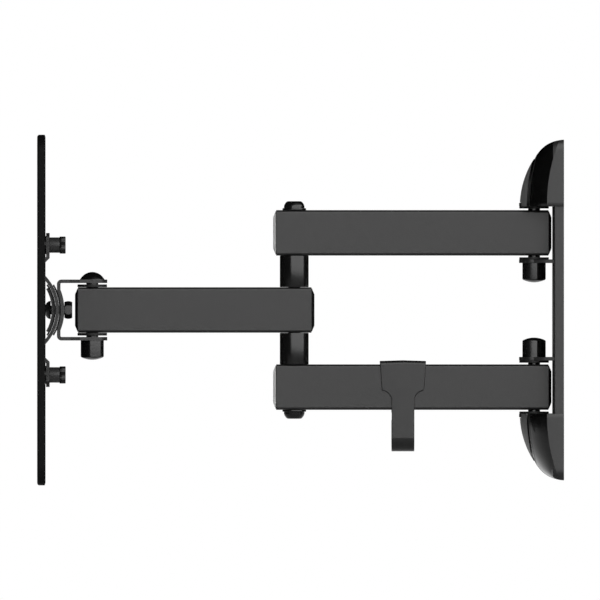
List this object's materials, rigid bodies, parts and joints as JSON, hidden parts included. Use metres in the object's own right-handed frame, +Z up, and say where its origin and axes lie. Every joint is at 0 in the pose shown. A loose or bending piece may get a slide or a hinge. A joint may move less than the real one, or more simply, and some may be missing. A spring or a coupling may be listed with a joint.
{
  "type": "full motion tv wall mount",
  "caption": "Wall mount for a flat television: two parallel rear arms, a front arm, a swivelling and tilting head, and a square plate with screw holes.",
  "frame": {"origin": "centre of the wall plate's back face, on the wall", "axes": "+Z up, -Y out of the wall towards the television, +X to the right for a person who faces the television"},
  "size_m": [0.23, 0.3468, 0.23],
  "materials": {
    "powder_coat": "satin black powder coat",
    "cover_plastic": "glossy black moulded plastic",
    "cap_plastic": "satin black moulded plastic",
    "clip_plastic": "fine grained black moulded plastic",
    "washer_plastic": "matt black nylon",
    "black_fastener": "black zinc plated steel",
    "bush_steel": "turned steel"
  },
  "bodies": {
    "wall": {"wall_plate": "powder_coat", "upper_pivot_bracket": "powder_coat", "lower_pivot_bracket": "powder_coat", "upper_cover": "cover_plastic", "lower_cover": "cover_plastic", "upper_pivot_bolt": "black_fastener", "lower_pivot_bolt": "black_fastener", "upper_pivot_washers": "washer_plastic", "lower_pivot_washers": "washer_plastic", "upper_pivot_nut": "black_fastener", "lower_pivot_nut": "black_fastener", "upper_pivot_nut_cap": "cap_plastic", "lower_pivot_nut_cap": "cap_plastic"},
    "rear_arms": {"upper_rear_arm": "powder_coat", "lower_rear_arm": "powder_coat", "upper_arm_wall_end_cap": "cap_plastic", "upper_arm_elbow_end_cap": "cap_plastic", "lower_arm_wall_end_cap": "cap_plastic", "lower_arm_elbow_end_cap": "cap_plastic", "upper_arm_wall_bush": "bush_steel", "lower_arm_wall_bush": "bush_steel", "upper_arm_elbow_bush": "bush_steel", "lower_arm_elbow_bush": "bush_steel", "elbow_rod": "black_fastener", "upper_spacer_post": "black_fastener", "lower_spacer_post": "black_fastener", "elbow_top_cap_nut": "black_fastener", "elbow_bottom_cap_nut": "black_fastener"},
    "clip": {"cable_clip": "clip_plastic"},
    "front": {"front_arm": "powder_coat", "front_arm_elbow_end_cap": "cap_plastic", "front_arm_head_end_cap": "cap_plastic", "front_arm_elbow_bush": "bush_steel", "front_arm_head_bush": "bush_steel"},
    "head": {"swivel_bracket": "powder_coat", "head_pivot_bolt": "black_fastener", "head_pivot_nut": "black_fastener", "head_nut_cap": "cap_plastic", "head_washers": "washer_plastic", "outer_friction_pad": "washer_plastic", "inner_friction_pad": "washer_plastic", "clamp_plate": "powder_coat", "tilt_bolt": "black_fastener", "tilt_nut": "black_fastener"},
    "tv_side": {"tilt_plate": "powder_coat", "tv_plate": "powder_coat", "thumb_screws": "black_fastener", "threaded_bosses": "black_fastener"}
  },
  "joints": [
    {"name": "shoulder", "type": "hinge", "parent": "wall", "child": "rear_arms", "pos_m": [0, -0.0191, 0], "axis": [0, 0, 1], "range_deg": [-90, 90]},
    {"name": "elbow", "type": "hinge", "parent": "rear_arms", "child": "front", "pos_m": [0, -0.1774, 0], "axis": [0, 0, -1], "range_deg": [-135, 135]},
    {"name": "swivel", "type": "hinge", "parent": "front", "child": "head", "pos_m": [0, -0.3107, 0], "axis": [0, 0, 1], "range_deg": [-90, 90]},
    {"name": "tilt", "type": "hinge", "parent": "head", "child": "tv_side", "pos_m": [0, -0.3652, 0], "axis": [1, 0, 0], "range_deg": [-15, 15]},
    {"name": "clip_slide", "type": "slide", "parent": "rear_arms", "child": "clip", "axis": [0, 1, 0], "range_m": [-0.044, 0.04]}
  ]
}
